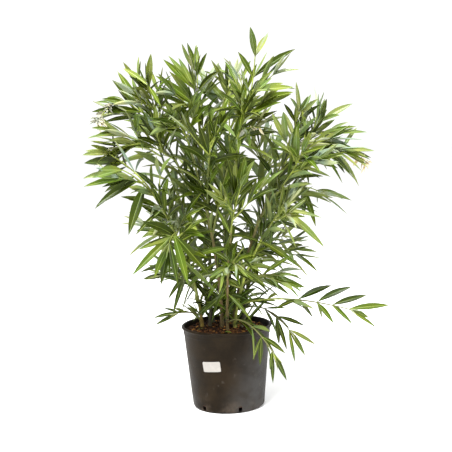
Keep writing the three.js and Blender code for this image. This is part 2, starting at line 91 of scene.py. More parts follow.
HUG = 0.42
LEAD = 0.35
GAP = 0.3
CURVE_STEPS = 24
STRAIGHT = 1e-9
SPARE_WAY = Vector((0.3, 1, 0.2))
FLARE = Table(extra=0.4, fade=0.05)
Stem = namedtuple("Stem", "foot tip sets radii")
Bough = namedtuple("Bough", "on at tip radii")


def named(kind, rows):
    return {f"{kind}_{name}": row for name, row in rows.items()}


STEMS = named("stem", {
    "west": Stem((-66, 25), (-179, -70, 582), (-0.04, 0, 1), (4.2, 2.6)),
    "brown": Stem((-12, 5), (-80, -30, 690), (0.02, -0.02, 1), (4.8, 2.6)),
    "green": Stem((22, -6), (98, -76, 456), (0.06, -0.08, 1), (4.2, 2.6)),
    "east": Stem((18, 30), (162, -25, 641), (0.12, 0, 1), (4.2, 2.6)),
    "dark": Stem((-45, 30), (-56, 30, 739), (0.08, 0.02, 1), (4, 2.4)),
    "core": Stem((-5, 60), (22, 70, 703), (0, 0.06, 1), (3.8, 2.4)),
    "back_east": Stem((45, 55), (165, 78, 650), (0.1, 0.06, 1), (4.2, 2.6)),
    "back_west": Stem((-35, 65), (-155, 125, 639), (-0.1, 0.1, 1), (4.2, 2.6)),
    "rear": Stem((15, 86), (4, 170, 561), (0, 0.1, 1), (4, 2.6)),
    "front": Stem((2, -30), (19, -110, 479), (0, -0.05, 1), (3.8, 2.6)),
})

BOUGHS = named("bough", {
    "crown": Bough("stem_brown", 0.54, (53, -40, 742), (2.6, 2.2)),
    "front_high": Bough("stem_brown", 0.66, (-30, -130, 658), (2.4, 2.1)),
    "left_high": Bough("stem_dark", 0.5, (-158, 20, 732), (2.7, 2.2)),
    "left_front": Bough("stem_west", 0.42, (-109, -120, 418), (2.7, 2.2)),
    "right_high": Bough("stem_back_east", 0.6, (210, 62, 650), (2.6, 2.2)),
    "right_front": Bough("stem_east", 0.65, (168, -80, 608), (2.5, 2.1)),
    "low_right": Bough("stem_green", 0.27, (194, -40, 285), (2.7, 2.2)),
    "back_top": Bough("stem_core", 0.6, (33, 150, 706), (2.6, 2.1)),
    "back_right": Bough("stem_back_east", 0.42, (111, 180, 585), (2.6, 2.1)),
    "back_left": Bough("stem_back_west", 0.35, (-110, 160, 403), (2.6, 2.1)),
})

# Masses of foliage: a leader's fork and tip, its side twigs and their reach, and its leaves' fan,
# youth, size, the share of them between the whorls that the solids have, and their width

Mass = namedtuple(
    "Mass",
    "on at tip twigs spread arch fan fresh size full wide",
    defaults=(0, 80, 0, 1, 0.25, 1, 0.36, 1),
)
MASSES = named("mass", {
    "crown": Mass("bough_crown", 1, (95, -20, 922), 3, 65, -30, fresh=0.2, full=0.2),
    "bud": Mass("bough_crown", 0.75, (86, -130, 833), 2, fresh=0.2, full=0.5),
    "crown_middle": Mass("stem_core", 1, (21, 40, 843), 3, fresh=0.5, size=0.92, full=0.16),
    "crown_left": Mass("stem_dark", 1, (-54, 10, 878), 2, fresh=0.5, full=0.16),
    "left_lean": Mass("stem_dark", 0.93, (-64, -20, 842), 2, fresh=0.5, full=0.16),
    "front_left": Mass("stem_brown", 1, (-116, -130, 771), 2, fan=0.7, full=0.3),
    "front_high": Mass("bough_front_high", 1, (-22, -180, 745), 3, fan=0.6, size=0.9, full=0.12),
    "left_high": Mass("bough_left_high", 1, (-244, 0, 812), 3, fresh=0.45, full=0.3),
    "left_rise": Mass("bough_left_high", 0.9, (-179, -60, 855), 1, 70, fresh=0.35, full=0.26),
    "left_upper": Mass("bough_left_high", 0.75, (-269, -70, 738), 2, 75, fresh=0.3),
    "left_far": Mass("stem_west", 1, (-291, -30, 683), 2, fresh=0.6, full=0.2, wide=1.15),
    "left_droop": Mass("stem_west", 0.82, (-248, -115, 644), 2, 90, 40, fresh=0.6, full=0.1, wide=1.3),
    "left_front": Mass("bough_left_front", 1, (-132, -215, 470), 1, 80, 90, fresh=0.1, full=0.2, wide=1.3),
    "left_middle": Mass("stem_west", 0.65, (-152, -120, 546), 2, fan=0.8),
    "left_base": Mass("stem_west", 0.28, (-160, 30, 352), 2, 70, 20, 0.75, size=0.8, full=0.3),
    "right_high": Mass("stem_back_east", 1, (213, 40, 764), 2, fresh=0.6, size=0.85, full=0.2),
    "right_shoulder": Mass("bough_right_high", 1, (268, 60, 748), 2, 75, fresh=0.7, size=0.85, full=0.25),
    "right_upper": Mass("stem_east", 1, (262, -20, 717), 2, fresh=0.5),
    "right_far": Mass("stem_east", 0.93, (312, -50, 672), 2, 80, 50, fresh=0.8),
    "right_front": Mass("bough_right_front", 1, (200, -140, 676), 2, fresh=0.6),
    "right_hang": Mass("stem_east", 0.7, (254, 50, 562), 2, 80, 70, full=0.15),
    "middle_right": Mass("stem_green", 1, (153, -120, 536), 2, fresh=1),
    "right_low": Mass("stem_east", 0.4, (172, 20, 412), 2, 80, 40, fresh=0.4, size=0.85, full=0.2),
    "right_base": Mass("stem_green", 0.5, (140, -65, 355), 2, 70, 20, 0.75, size=0.75, full=0.2),
    "front_middle": Mass("stem_front", 1, (49, -200, 611), 3, fan=0.55, full=0.2),
    "front_low": Mass("stem_front", 0.55, (26, -170, 406), 2, 75, 30, 0.75, size=0.8, full=0.3),
    "low_right": Mass("bough_low_right", 1, (321, -70, 262), fresh=0.5, size=0.82, full=0),
    "rim_right": Mass(
        "stem_back_east", 0.1, (168, -10, 196), arch=30, fan=0.7, fresh=-0.12, size=0.62, full=0.1
    ),
    "rim_front": Mass(
        "stem_front", 0.08, (114, -180, 182), arch=40, fan=0.7, fresh=-0.25, size=0.62, full=0.2
    ),
    "rim_left": Mass("stem_west", 0.09, (-127, -25, 257), fan=0.7, fresh=-0.2, size=0.62, full=0.1),
    "back_top": Mass("bough_back_top", 1, (70, 190, 798), 3, fresh=0.5, size=0.9, full=0.2),
    "back_left": Mass("stem_back_west", 1, (-168, 180, 733), 3, 90, fresh=0.5),
    "back_right": Mass("bough_back_right", 1, (122, 240, 689), 3, 90, fresh=0.4),
    "back_middle": Mass("stem_rear", 1, (-76, 265, 600), 3, 90, fresh=0.6),
    "back_low": Mass("stem_rear", 0.5, (2, 220, 390), 2, 80, 20, size=0.85),
    "back_left_low": Mass("bough_back_left", 1, (-168, 230, 461), 2),
    "back_right_low": Mass("stem_back_east", 0.35, (165, 200, 423), 2, 90, 20),
})

# Where the leaves nearest to a leader's bud have their tips, and the way their upper sides
# face. The other leaves point by rule, and so does one in the place of a None. Leaves turn away
# from an axis behind the pot's, and may stand a little proud of the box of their mass.

FACING = Vector((0, -1, 0.5))
AXIS = 40
PROUD = {"aimed": 36, "ruled": 18}

TIPS = named("mass", {
    "crown": [(82, -80, 990), (132, 45, 977), None, (199, -25, 935), (50, -60, 930), None],
    "bud": [
        (128, -200, 874), (163, -80, 847), (184, -130, 835),
        (187, -95, 824), (24, -205, 832), (106, -60, 756),
    ],
    "crown_middle": [
        (20, -25, 908), (36, 115, 892), (-19, 0, 915),
        (-60, 90, 892), (53, -35, 816), (-20, 115, 830),
    ],
    "crown_left": [(-78, -25, 959), (-57, 55, 958), (-27, -60, 930), (7, 75, 818)],
    "left_lean": [
        (-141, -20, 918), (-128, -15, 928), (-102, -20, 922),
        (-164, -10, 879), (-123, -95, 885), (-170, -15, 851),
    ],
    "left_rise": [(-165, -110, 930), (-245, -15, 899), (-145, -120, 797)],
    "left_high": [
        (-297, -75, 821), (-299, 70, 827), (-315, -60, 814),
        (-284, 75, 874), (-325, -65, 790), (-268, 60, 897),
    ],
    "left_upper": [(-317, -145, 751), (-318, -5, 779), (-310, -145, 729)],
    "left_far": [
        (-326, -105, 708), (-358, 30, 688), (-348, -100, 683),
        (-344, 35, 616), (-365, 45, 655),
    ],
    "left_droop": [
        (-296, -190, 650), (-318, -60, 632), (-316, -175, 630), (-348, -110, 604), (-321, -125, 547),
        (-304, -45, 582), (-236, -150, 478), (-222, -60, 508), None,
    ],
    "left_front": [
        (-171, -225, 387), (-156, -210, 364), (-114, -225, 366), (-226, -210, 391), (-90, -220, 367),
        (-38, -210, 388), (-189, -285, 531), (-193, -140, 489), (-214, -150, 446),
    ],
    "right_high": [(202, 40, 853), (247, 105, 819), (252, -30, 805)],
    "right_shoulder": [(277, -10, 806), (354, 65, 791), (310, -15, 762)],
    "right_upper": [(352, -20, 732), (315, 45, 682), (379, -30, 716)],
    "right_far": [
        (385, -105, 671), (356, 5, 729), (366, -110, 632),
        (346, 25, 600), (325, 25, 606), (393, 15, 647),
    ],
    "right_front": [
        (219, -215, 726), (285, -110, 689), (239, -205, 627),
        (304, -115, 664), (183, -215, 744), (274, -100, 609),
    ],
    "right_hang": [
        (300, -25, 561), (297, 120, 523), (259, 125, 519),
        (221, 115, 485), (243, 0, 468), (231, 55, 432),
    ],
    "middle_right": [
        (195, -185, 488), (254, -115, 431), (247, -125, 509),
        (214, -65, 467), (116, -120, 439), (99, -55, 469),
    ],
    "right_low": [(249, 20, 401), (188, 75, 359), (207, -45, 430), (149, 95, 365)],
    "right_base": [
        (200, -65, 308), (134, -10, 313), (179, -120, 365),
        (210, -50, 318), (174, -110, 415),
    ],
    "low_right": [
        (423, -74, 271), (375, -34, 230), (388, -79, 213), (368, -51, 295), (319, -136, 236), (319, 4, 224),
        (272, -129, 238), (256, 16, 220), (329, -54, 320), (283, 4, 314), (232, 19, 223), (189, -111, 330),
    ],
    "rim_right": [
        (235, -18, 158), (207, -3, 125), (178, -28, 114),
        (210, 12, 203), (159, -8, 142), (140, 27, 150),
    ],
    "rim_front": [
        (146, -187, 111), (112, -172, 100), (103, -222, 149),
        (82, -126, 135), (145, -191, 180), (65, -111, 147),
    ],
    "rim_left": [(-193, -23, 245), (-189, -18, 225), (-163, -58, 279)],
    "left_middle": [(-220, -150, 481), (-166, -190, 600), (-140, -30, 640)],
})
TIPS["bough_low_right"] = [(283, 4, 314), (126, -90, 273), (232, 19, 223)]

# Flower heads that have gone over, each on a stalk from its leader: the share of the leader at
# the stalk, the spot of the head, the number of petals and their least width

PETAL = Table(stalk=(1.2, 0.8), length=(11, 25), wider=5, open=70, bow=2, aim=0.98, spread=0.5)
WITHERED = named("mass", {
    "left_high": (0.9, (-306, -80, 768), 34, 8),
    "right_far": (0.9, (368, -90, 640), 22, 4),
    "bud": (0.3, (97, -140, 738), 4, 9),
})

# Old leaves that lie on the compost: foot, tip and width

LYING = Table(height=5, bow=0.1)
FALLEN = (
    ((-12, -52), (16, -62), 8), ((50, -40), (68, -8), 6),
    ((-76, -14), (-52, 4), 6), ((30, 66), (-4, 74), 7),
)

# Shoots and leaves. The solids carry every second whorl. Pairs of numbers go from young to
# grown, or from foot to tip.

LEAF = Table(
    length=(88, 124), slim=0.112, least=2.2, thick=1.0, thins=0.5, fold=0.26,
    open=(22, 52), strays=(12, 30), bow=(0.4, 0.9), droop=0.2, lift=0.25, outward=0.7,
)
AIMED = Table(droop=0.5, twist=0.3)
WHORL = Table(leaves=3, first=4, pitch=20, ripe=100, turn=30, bare=14, solid=0.6, apart=120)
STAGGER = 60
TWIG = Table(radii=(2.2, 1.2), spread=42, span=(0.25, 0.6), only=0.4, rise=0.1)
FINE_TWIG = Table(above=0.25, radii=(1.8, 1.1), reach=0.62, share=0.64)
LEADER = Table(foot=2.5, tip=1.4)
BUD = Table(leaves=3, length=28, open=17, apart=90, bow=0.2, fresh=0.65)
# deep is the share of stem leaves in the darkest tint, which partly stands for painted shade inside the
# crown
STEM_LEAVES = Table(
    start=0.035, start_on_bough=0.25, to=0.97, pitch=24, crowd=1.35,
    length=(68, 118), ripe=330, hang=155, open=34, hung=0.45, bow=0.8, deep=0.68,
)

# The shares of a leaf at which it has to keep clear, and the least clearances

TESTED = (0.45, 0.75, 1)
CLEAR = Table(pot=2, floor=4, rim=3)

# How far a number may stray from its rule, up or down, as degrees or a share, and its key

SWAYS = {
    "twig_turn": (40, 4), "twig_spread": (8, 5), "twig_reach": (0.2, 6), "turn": (16, 1),
    "open": (1, 2), "length": (0.14, 3), "width": (0.26, 8), "twist": (28, 10),
    "tilt": (55, 13), "bud_turn": (30, 1), "bud_open": (12, 2), "bud_length": (0.4, 3),
    "stem_turn": (24, 1), "stem_open": (26, 2), "stem_length": (0.2, 3), "petal_open": (60, 1),
}

# Parts of a blade with their roughness, and the tints of each part, from the oldest leaves to
# the youngest and then the dry petals

LEAF_PARTS = {"upper": 0.27, "rib": 0.45, "under": 0.5}
TINTS = {
    "deep": ((0.019, 0.0295, 0.0012), (0.105, 0.14, 0.018), (0.08, 0.103, 0.022)),
    "mid": ((0.048, 0.074, 0.0034), (0.165, 0.208, 0.034), (0.14, 0.172, 0.05)),
    "light": ((0.098, 0.131, 0.0185), (0.2, 0.233, 0.074), (0.178, 0.206, 0.112)),
    "fresh": ((0.124, 0.153, 0.035), (0.23, 0.256, 0.105), (0.23, 0.26, 0.145)),
    "dry": ((0.4, 0.35, 0.215), (0.4, 0.35, 0.205), (0.46, 0.41, 0.27)),
}
SHEEN = {"deep": 0.13, "mid": 0.16, "light": 0.26, "fresh": 0.26, "dry": 0.1}
TINT_STEPS = (("fresh", 0.83), ("light", 0.52), ("mid", 0.35), ("deep", -1))
TONE = Table(spray=0.48, leaf=0.32, young=0.6, fades=4)

# Numbers dealt by rule: the same whole numbers always give the same share from 0 to 1. The last
# one says what is dealt, and the groups keep buds, old leaves and petals apart. Each whole
# number is mixed in by two factors and two shifts.

HANGS, KEPT, DROOP, TINT = 4, 7, 9, 12
PETAL_LENGTH, PETAL_PLACE, PETAL_WIDTH = 2, 3, 4
CHIP_LENGTH, CHIP_WIDTH, CHIP_THICKNESS, CHIP_CORNER = 1, 2, 3, 4
CHIP_OUT, CHIP_ROUND, CHIP_TURN, CHIP_OVER, CHIP_ASIDE, CHIP_HEIGHT = range(11, 17)
FINE_GROUP, STEM_NUMBERS, BUD_GROUP, STEM_GROUP, PETAL_GROUP, FALLEN_GROUP = 10, 50, 80, 90, 95, 96
WORD = 0xFFFFFFFF
SEED = 2166136261
SPREADS = ((16777619, 13), (1540483477, 15))


def roll(*keys):
    mixed = SEED
    for key in keys:
        mixed ^= key + 1
        for factor, shift in SPREADS:
            mixed = (mixed * factor) & WORD
            mixed ^= mixed >> shift
    return mixed / (WORD + 1)


def sway(span, *keys):
    return span * (2 * roll(*keys) - 1)


def stray(kind, keys):
    span, last = SWAYS[kind]
    return sway(span, *keys, last)


def blend(start, end, share):
    return start + (end - start) * share


def turned(first, second, angle):
    """The way that lies an angle off the first of two square ways, towards the second."""
    return first * cos(angle) + second * sin(angle)


def around(radius, angle):
    return radius * cos(angle), radius * sin(angle)


# Curves that the limbs follow


class Curve:
    """A bend of three points, with a frame that turns along with it."""

    def __init__(self, start, bend, end):
        self.start, self.bend, self.end = start, bend, end
        across = (bend - start).cross(end - bend)
        if across.length < STRAIGHT:
            across = (end - start).cross(SPARE_WAY)
        self.across = across.normalized()
        points = [self.point(i / CURVE_STEPS) for i in range(CURVE_STEPS + 1)]
        self.length = sum((b - a).length for a, b in zip(points, points[1:]))

    def point(self, share):
        rest = 1 - share
        return self.start * rest * rest + self.bend * 2 * rest * share + self.end * share * share

    def along(self, share):
        first = (self.bend - self.start) * (1 - share)
        return (first + (self.end - self.bend) * share).normalized()

    def over(self, share):
        return self.across.cross(self.along(share))


class Limb(namedtuple("Limb", "curve radii flared", defaults=(False,))):
    """A curve with the radius at its foot and at its tip."""

    def radius(self, share):
        root = 1 + FLARE.extra * exp(-share / FLARE.fade) if self.flared else 1
        return blend(*self.radii, share) * root


def limb_curve(start, sets, tip, arch=0):
    bend = start + sets.normalized() * (tip - start).length * HUG
    return Curve(start, bend + UP * arch, tip)


def stem_curve(one):
    start = Vector((*one.foot, SOIL_LEVEL + GAP))
    return limb_curve(start, Vector(one.sets), Vector(one.tip))


def fork_curve(limbs, fork, arch=0):
    parent = limbs[fork.on].curve
    share = fork.at
    point = parent.point(share)
    along = parent.along(share)
    goal = Vector(fork.tip)
    if share == 1:
        return limb_curve(point, along, goal, arch)
    chord = (goal - point).normalized()
    return limb_curve(point, chord + along * LEAD, goal, arch)


def way_off(curve, share, turn, opening):
    """The way that leads off a limb: its turn round the limb and its opening from it, in degrees."""
    out = turned(curve.across, curve.over(share), radians(turn))
    return turned(curve.along(share), out, radians(opening))


def grow_limbs():
    limbs = {}
    for name, one in STEMS.items():
        limbs[name] = Limb(stem_curve(one), one.radii, flared=True)
    for name, one in BOUGHS.items():
        limbs[name] = Limb(fork_curve(limbs, one), one.radii)
    for name, one in MASSES.items():
        foot = min(LEADER.foot, limbs[one.on].radii[1])
        limbs[name] = Limb(fork_curve(limbs, one, one.arch), (foot, LEADER.tip))
    return limbs


def twig_on(leader, share, turn, reach, radii, keys):
    turn += stray("twig_turn", keys)
    heading = way_off(leader.curve, share, turn, TWIG.spread + stray("twig_spread", keys))
    reach *= 1 + stray("twig_reach", keys)
    start = leader.curve.point(share)
    tip = start + heading * reach + UP * reach * TWIG.rise
    return Limb(limb_curve(start, heading, tip), radii)


def side_twigs(leader, one, number):
    """A leader's side twigs, each with its index, and one finer twig where the mass is full."""
    for i in range(one.twigs):
        share = blend(*TWIG.span, i / (one.twigs - 1) if one.twigs > 1 else TWIG.only)
        yield i + 1, twig_on(leader, share, i * GOLDEN_TURN, one.spread, TWIG.radii, (number, i))
    if one.twigs and one.full > FINE_TWIG.above:
        turn = (one.twigs + 0.5) * GOLDEN_TURN
        reach = one.spread * FINE_TWIG.reach
        twig = twig_on(leader, FINE_TWIG.share, turn, reach, FINE_TWIG.radii, (number, FINE_GROUP))
        yield FINE_GROUP + 1, twig


# Leaves


def leaf_on(curve, share, line, bow, keys, tip=None):
    """A leaf that sets out along a line from its limb, or that has a given tip once it has bent."""
    root = curve.point(share)
    droop = LEAF.droop * (bow + roll(*keys, DROOP))
    if tip:
        droop *= AIMED.droop
        line = Vector(tip) - root
        line += UP * droop * line.length
    heading = line.normalized()
    outward = Vector((root.x, root.y - AXIS, 0)).normalized()
    facing = FACING if tip else curve.along(share) + outward * LEAF.outward
    tilt = 0 if tip else radians(stray("tilt", keys))
    width = line.length * LEAF.slim + LEAF.least
    twist = radians(stray("twist", keys))
    upper = (facing - heading * facing.dot(heading)).normalized()
    return Table(
        root=root, heading=heading, upper=Matrix.Rotation(tilt, 3, heading) @ upper,
        length=line.length, width=width * (1 + stray("width", keys)),
        droop=droop, twist=twist * (AIMED.twist if tip else 1), proud=0,
    )


def tint_of(age, fresh, spray, leaf):
    young = max(0, 1 - age * TONE.fades) * TONE.young if fresh > 0 else 1
    tone = fresh * young + TONE.spray * roll(*spray, TINT) + TONE.leaf * roll(*spray, leaf, TINT)
    return next(tint for tint, least in TINT_STEPS if tone > least)


def shoot_leaves(limb, index, number, one, tips):
    curve = limb.curve
    pitch = WHORL.pitch
    whorls = int((curve.length - WHORL.bare - WHORL.first) / pitch) + 1
    for whorl in range(max(whorls, 1)):
        back = WHORL.first + whorl * pitch
        age = min(1, back / WHORL.ripe)
        between = whorl % 2
        share = max(0, 1 - back / curve.length)
        for leaf in range(WHORL.leaves):
            keys = (number, index, whorl, leaf)
            tip = tips.pop(0) if tips and not between else None
            if not tip and roll(*keys, KEPT) > one.full + (0 if between else WHORL.solid):
                continue
            turn = WHORL.turn + STAGGER * between + leaf * WHORL.apart + stray("turn", keys)
            opening = blend(*LEAF.open, age) + blend(*LEAF.strays, age) * stray("open", keys)
            length = blend(*LEAF.length, age) * one.size * (1 + stray("length", keys))
            lift = UP * LEAF.lift if one.arch <= 0 else Vector()
            line = (way_off(curve, share, turn, opening * one.fan) + lift).normalized() * length
            found = leaf_on(curve, share, line, blend(*LEAF.bow, age), keys, tip)
            found.tint = tint_of(age, one.fresh, (number, index, whorl), leaf)
            found.proud = PROUD["aimed" if tip else "ruled"]
            found.width *= one.wide
            yield found


def bud_leaves(limb, index, number, fresh):
    """The small leaves, still half closed, at the very tip of a shoot."""
    for leaf in range(BUD.leaves):
        keys = (number, index, BUD_GROUP, leaf)
        turn = leaf * BUD.apart + stray("bud_turn", keys)
        length = BUD.length * (1 + stray("bud_length", keys))
        line = way_off(limb.curve, 1, turn, BUD.open + stray("bud_open", keys)) * length
        found = leaf_on(limb.curve, 1, line, BUD.bow, keys)
        found.tint = "fresh" if roll(*keys, TINT) < BUD.fresh + fresh else "light"
        yield found


def withered(limb, number, share, spot, count, least):
    """The stalk of a flower head that has gone over, and the shrivelled petals at its end."""
    foot, along = limb.curve.point(share), limb.curve.along(share)
    stalk = Limb(limb_curve(foot, along, Vector(spot)), PETAL.stalk)
    petals = []
    for i in range(count):
        keys = (number, PETAL_GROUP, i)
        opening = PETAL.open + stray("petal_open", keys)
        way = way_off(stalk.curve, PETAL.aim, i * GOLDEN_TURN, opening)
        place = 1 - PETAL.spread * roll(*keys, PETAL_PLACE) ** 2
        line = way * blend(*PETAL.length, roll(*keys, PETAL_LENGTH))
        petal = leaf_on(stalk.curve, place, line, PETAL.bow, keys)
        petal.width = least + PETAL.wider * roll(*keys, PETAL_WIDTH)
        petal.tint = "dry"
        petals.append(petal)
    return stalk, petals


def fallen_leaves():
    """Yellowed leaves that lie flat on the compost."""
    for number, (foot, tip, width) in enumerate(FALLEN):
        start, end = [Vector((*spot, bed_height(*spot) + LYING.height)) for spot in (foot, tip)]
        rest = Curve(start, (start + end) / 2, end)
        leaf = leaf_on(rest, 0, end - start, LYING.bow, (number, FALLEN_GROUP))
        leaf.upper = leaf.heading.cross(UP).cross(leaf.heading).normalized()
        leaf.width = width
        leaf.tint = "light"
        yield leaf


def stem_leaves(limb, number, tips):
    """Whorls of older leaves that a stem or bough still holds inside the crown. Most take the darkest tint,
    for their age and as painted shade inside the crown.
    """
    curve = limb.curve
    whorl_size = WHORL.leaves
    start = STEM_LEAVES.start if limb.flared else STEM_LEAVES.start_on_bough
    whorls = int(curve.length * (1 - start) / STEM_LEAVES.pitch)
    for whorl in range(whorls):
        up = (whorl / max(1, whorls - 1)) ** STEM_LEAVES.crowd
        share = blend(start, STEM_LEAVES.to, up)
        aimed = tips[(whorls - 1 - whorl) * whorl_size:][:whorl_size]
        for leaf in range(whorl_size):
            keys = (number, STEM_GROUP, whorl, leaf)
            turn = leaf * WHORL.apart + STAGGER * (whorl % 2) + stray("stem_turn", keys)
            rise = min(1, (curve.point(share).z - SOIL_LEVEL) / STEM_LEAVES.ripe)
            hangs = roll(*keys, HANGS) < STEM_LEAVES.hung
            low = STEM_LEAVES.hang if hangs else STEM_LEAVES.open
            opening = blend(low, STEM_LEAVES.open, rise) + stray("stem_open", keys)
            line = way_off(curve, share, turn, opening) * blend(*STEM_LEAVES.length, rise)
            line = line * (1 + stray("stem_length", keys))
            tip = aimed[leaf] if leaf < len(aimed) else None
            found = leaf_on(curve, share, line, STEM_LEAVES.bow, keys, tip)
            # The darkest tint for most of them: they are older, and it paints shade inside the crown
            found.tint = "mid" if roll(*keys, TINT) > STEM_LEAVES.deep else "deep"
            yield found


def leaf_point(leaf, share):
    spot = leaf.root + leaf.heading * share * leaf.length
    return spot - UP * leaf.droop * leaf.length * share * share


def in_pot(point):
    """True inside the pot or the compost, or within a small margin of them."""
    margin = CLEAR.pot
    if point.z > POT.height + margin:
        return False
    radius = hypot(point.x, point.y)
    inside = point.z > SOIL_LEVEL + margin and radius < POT.neck - POT.wall - margin
    return radius < POT.rim + margin and not inside


def fits(leaf, low, high):
    for share in TESTED:
        point = leaf_point(leaf, share)
        if in_pot(point) or point.z < CLEAR.floor:
            return False
        if any(not low[i] - leaf.proud < point[i] < high[i] + leaf.proud for i in range(3)):
            return False
    return True


def box_of(names):
    corners = [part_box(name) for name in names]
    low = [min(c[0][i] for c in corners) / MM for i in range(3)]
    high = [max(c[1][i] for c in corners) / MM for i in range(3)]
    return low, high


def grow_foliage(limbs):
    twigs = []
    leaves = []
    for number, (name, one) in enumerate(MASSES.items()):
        low, high = box_of([name])
        shoots = [(0, limbs[name]), *side_twigs(limbs[name], one, number)]
        if name in WITHERED:
            stalk, petals = withered(limbs[name], number, *WITHERED[name])
            twigs.append(stalk)
            leaves += petals
        for index, shoot in shoots:
            twigs.append(shoot)
            tips = list(TIPS.get(name, ())) if index == 0 else []
            grown = [*shoot_leaves(shoot, index, number, one, tips)]
            grown += bud_leaves(shoot, index, number, one.fresh)
            leaves += [leaf for leaf in grown if fits(leaf, low, high)]
    low, high = box_of(MASSES)
    low[2] = POT.height + CLEAR.rim
    for number, name in enumerate([*STEMS, *BOUGHS]):
        grown = stem_leaves(limbs[name], STEM_NUMBERS + number, TIPS.get(name, ()))
        leaves += [leaf for leaf in grown if fits(leaf, low, high)]
    return twigs, leaves + list(fallen_leaves())


# Meshes made from arrays


class Build:
    """Points and faces gathered for one piece, with each face's finish and each point's chart."""

    def __init__(self):
        self.points = []
        self.faces = []
        self.finishes = []
        self.chart = []

    def add(self, points, faces, finishes=None, chart=()):
        start = len(self.points)
        self.points += [tuple(p) for p in points]
        self.faces += [tuple(start + i for i in face) for face in faces]
        self.finishes += finishes or [0] * len(faces)
        self.chart += chart

    def piece(self, name, materials, angle):
        mesh = bpy.data.meshes.new(name)
        mesh.from_pydata((np.array(self.points) * MM).tolist(), [], self.faces)
        for material in materials:
            mesh.materials.append(material)
        mesh.polygons.foreach_set("material_index", self.finishes)
        if self.chart:
            corners = np.zeros(len(mesh.loops), dtype=np.int32)
            mesh.loops.foreach_get("vertex_index", corners)
            layer = mesh.uv_layers.new(name=CHART)
            layer.data.foreach_set("uv", np.array(self.chart, dtype=np.float32)[corners].ravel())
        mesh.update()
        piece = placed(name, mesh)
        smooth(piece, angle)
        return piece


def edit_all():
    bpy.ops.object.mode_set(mode="EDIT")
    bpy.ops.mesh.select_all(action="SELECT")


def placed(name, data):
    made = bpy.data.objects.new(name, data)
    bpy.context.scene.collection.objects.link(made)
    return made


def added(add, **settings):
    bpy.ops.object.select_all(action="DESELECT")
    add(**settings)
    return bpy.context.object


def only(piece):
    bpy.ops.object.select_all(action="DESELECT")
    piece.select_set(True)
    bpy.context.view_layer.objects.active = piece


def smooth(piece, angle):
    only(piece)
    bpy.ops.object.shade_smooth_by_angle(angle=radians(angle))
    piece.select_set(False)


def painted(piece, material, angle):
    piece.data.materials.clear()
    piece.data.materials.append(material)
    smooth(piece, angle)


def quads(first, second, count):
    """Faces between two rings of points, given by their first points."""
    for j in range(count):
        k = (j + 1) % count
        yield first + j, first + k, second + k, second + j


# A leaf's stations along it: share of its length and of its half width. At each one the
# section runs edge, rib, rib, edge over the top and back through one point underneath. The
# strips between these points are upper side, rib, upper side and twice the underside. The rib
# takes at most a share of the blade, and thins towards the tip.

CHART = "blade"
STATIONS = ((0, 0.13), (0.05, 0.15), (0.16, 0.52), (0.32, 0.88), (0.5, 1), (0.68, 0.85), (0.86, 0.46))
ACROSS = (0, 0.45, 0.55, 1, 0.5)
STRIPS = (0, 1, 0, 2, 2)
EDGES = (0, 3)
RIB = Table(half=0.8, share=0.5, thins=0.6)


def strip(near, next_near, next_far, far, from_edge):
    """Two triangles whose common side starts at the blade's edge, so that the upper side and the
    underside never cross where a leaf is twisted."""
    if from_edge:
        return [(near, next_near, next_far), (near, next_far, far)]
    return [(near, next_near, far), (next_near, next_far, far)]


def leaf_faces():
    count = len(STRIPS)
    faces = [tuple(range(count))[::-1]]
    finishes = [STRIPS[-1]]
    for i in range(len(STATIONS) - 1):
        low = i * count
        high = low + count
        for j, finish in enumerate(STRIPS):
            k = (j + 1) % count
            faces += strip(low + j, low + k, high + k, high + j, j in EDGES)
            finishes += [finish, finish]
    tip = len(STATIONS) * count
    last = tip - count
    faces += [(last + j, last + (j + 1) % count, tip) for j in range(count)]
    return faces, finishes + list(STRIPS)


LEAF_FACES, LEAF_FINISHES = leaf_faces()
LEAF_CHART = [(across, share) for share, _ in STATIONS for across in ACROSS] + [(0.5, 1)]


def leaf_points(leaf):
    heading, upper = leaf.heading, leaf.upper
    side = heading.cross(upper)
    half = leaf.width / 2
    points = []
    for share, wide in STATIONS:
        turn = leaf.twist * share
        across = turned(side, upper, turn)
        lift = turned(upper, -side, turn)
        spot = leaf_point(leaf, share)
        edge = half * wide
        rib = min(edge * RIB.share, RIB.half * (1 - RIB.thins * share))
        raised = lift * edge * LEAF.fold * 2
        sunk = lift * -LEAF.thick * (1 - LEAF.thins * share)
        points += [spot - across * edge + raised, spot - across * rib, spot + across * rib]
        points += [spot + across * edge + raised, spot + sunk]
    return points + [leaf_point(leaf, 1)]


def make_leaves(leaves):
    for tint in TINTS:
        build = Build()
        for leaf in leaves:
            if leaf.tint == tint:
                build.add(leaf_points(leaf), LEAF_FACES, LEAF_FINISHES, LEAF_CHART)
        materials = [leaf_finish(tint, part) for part in LEAF_PARTS]
        dress(build.piece(f"leaves_{tint}", materials, SMOOTH.leaf), "foliage", *MASSES)


# Tubes for stems, boughs and twigs: points round them and the step between rings

BARK_TUBE = (16, 3.5)
TWIG_TUBE = (6, 12)
LEAST_RINGS = 3
BARK = Table(
    node=34, ring=2.2, swell=0.07, scar=0.1, furrow=0.07, furrow_scale=0.9, stretch=0.25,
    wart=0.06, wart_scale=0.55, wart_place=Vector((40, 0, 0)),
)


def tube(build, limb, sides, step, relief=None):
    curve = limb.curve
    rings = max(LEAST_RINGS, int(curve.length / step))
    points = []
    for i in range(rings + 1):
        share = i / rings
        centre = curve.point(share)
        over = curve.over(share)
        for j in range(sides):
            angle = 2 * pi * j / sides
            way = turned(curve.across, over, angle)
            radius = limb.radius(share)
            if relief:
                radius *= relief(centre + way * radius, share * curve.length, angle)
            points.append(centre + way * radius)
    faces = [tuple(range(sides))[::-1], tuple(rings * sides + j for j in range(sides))]
    for i in range(rings):
        faces += quads(i * sides, (i + 1) * sides, sides)
    build.add(points, faces)


